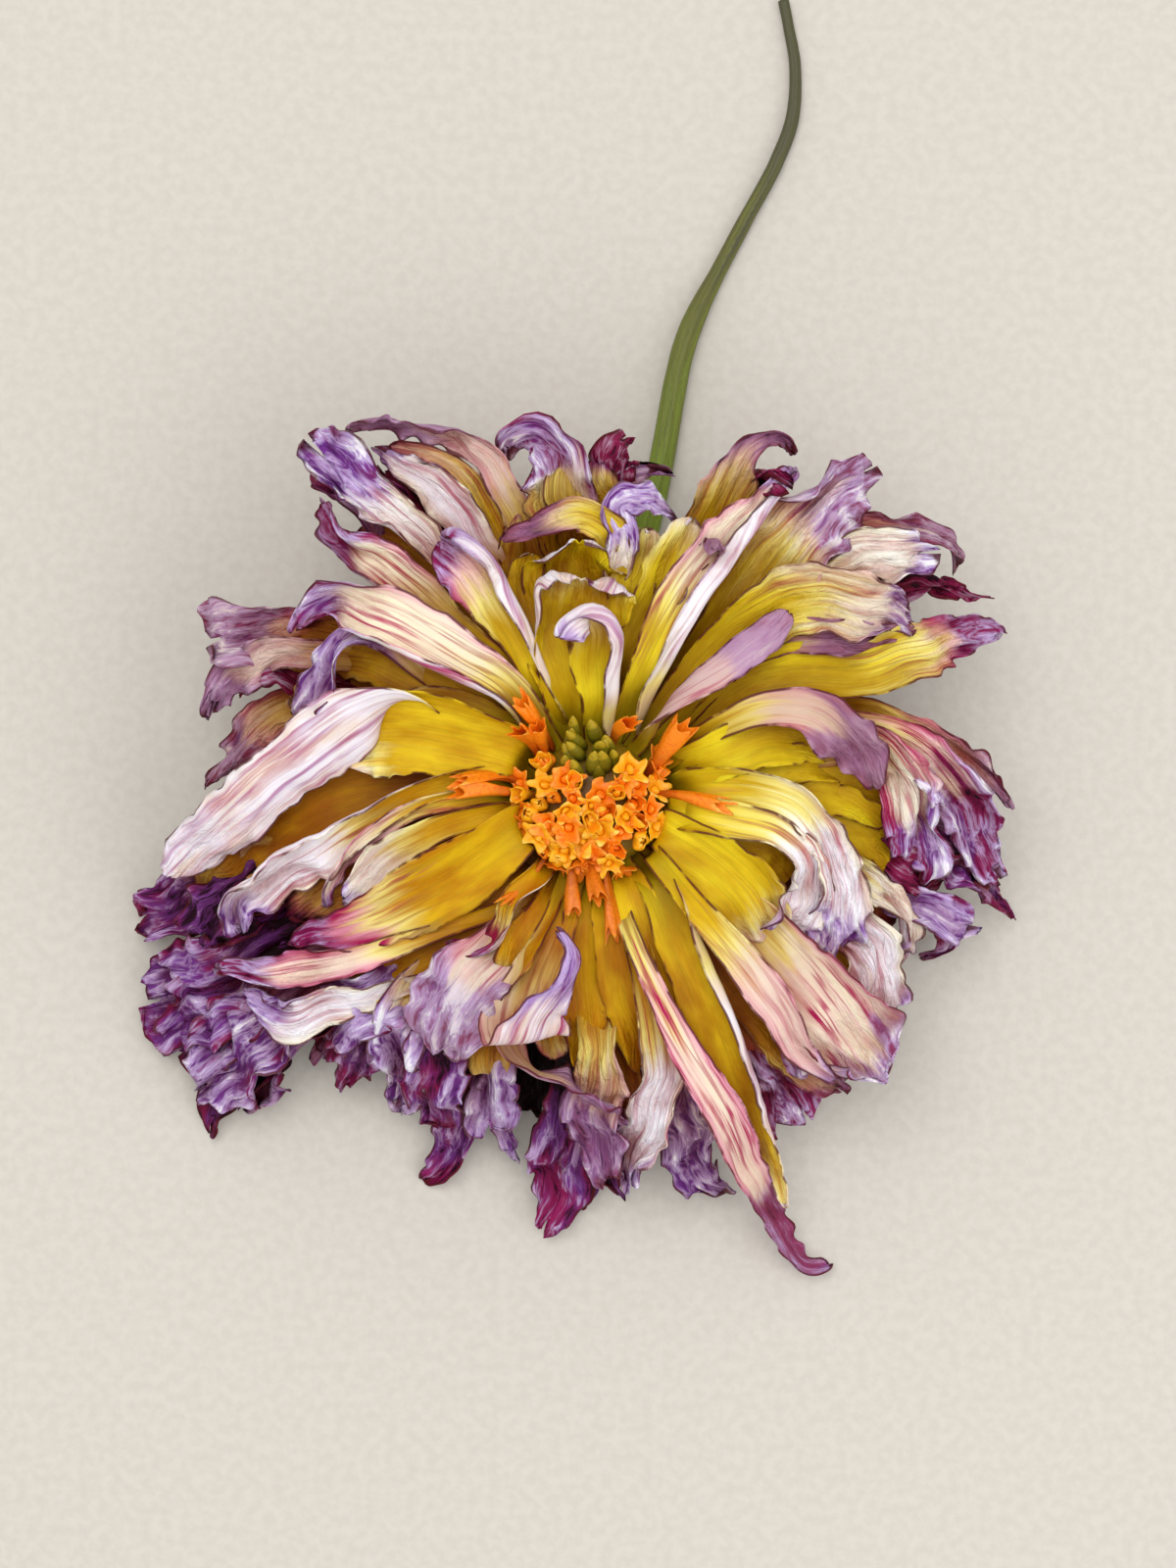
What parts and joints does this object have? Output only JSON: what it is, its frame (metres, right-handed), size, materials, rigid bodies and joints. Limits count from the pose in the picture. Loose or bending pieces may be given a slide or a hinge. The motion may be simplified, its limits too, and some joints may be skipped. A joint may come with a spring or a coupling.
{
  "type": "dinner plate dahlia",
  "caption": "Fading dinner plate dahlia lying face up on its cut, bent-over stem: long curling ray petals round an open disc of small florets, with a leafy calyx behind.",
  "frame": {"origin": "on the surface that the bloom and its stem lie on, under the middle of the whole part", "axes": "+Z up, the way the bloom faces; +Y along the lying stem, from the bloom towards the cut; +X to the right when seen from above with +Y up"},
  "size_m": [0.2084, 0.2914, 0.0723],
  "materials": {
    "ray_petals": "thin, pleated and dry; ochre gold at the base, cream and pink in the middle, purple at the curled tips",
    "disc_florets": "soft, matte orange",
    "floret_buds": "smooth, olive green",
    "calyx": "dry green, veined",
    "stem": "ribbed green, browning towards the cut"
  },
  "bodies": {
    "root": {"petals": "ray_petals", "disc_florets": "disc_florets", "floret_buds": "floret_buds", "calyx": "calyx", "stem": "stem"}
  },
  "joints": []
}
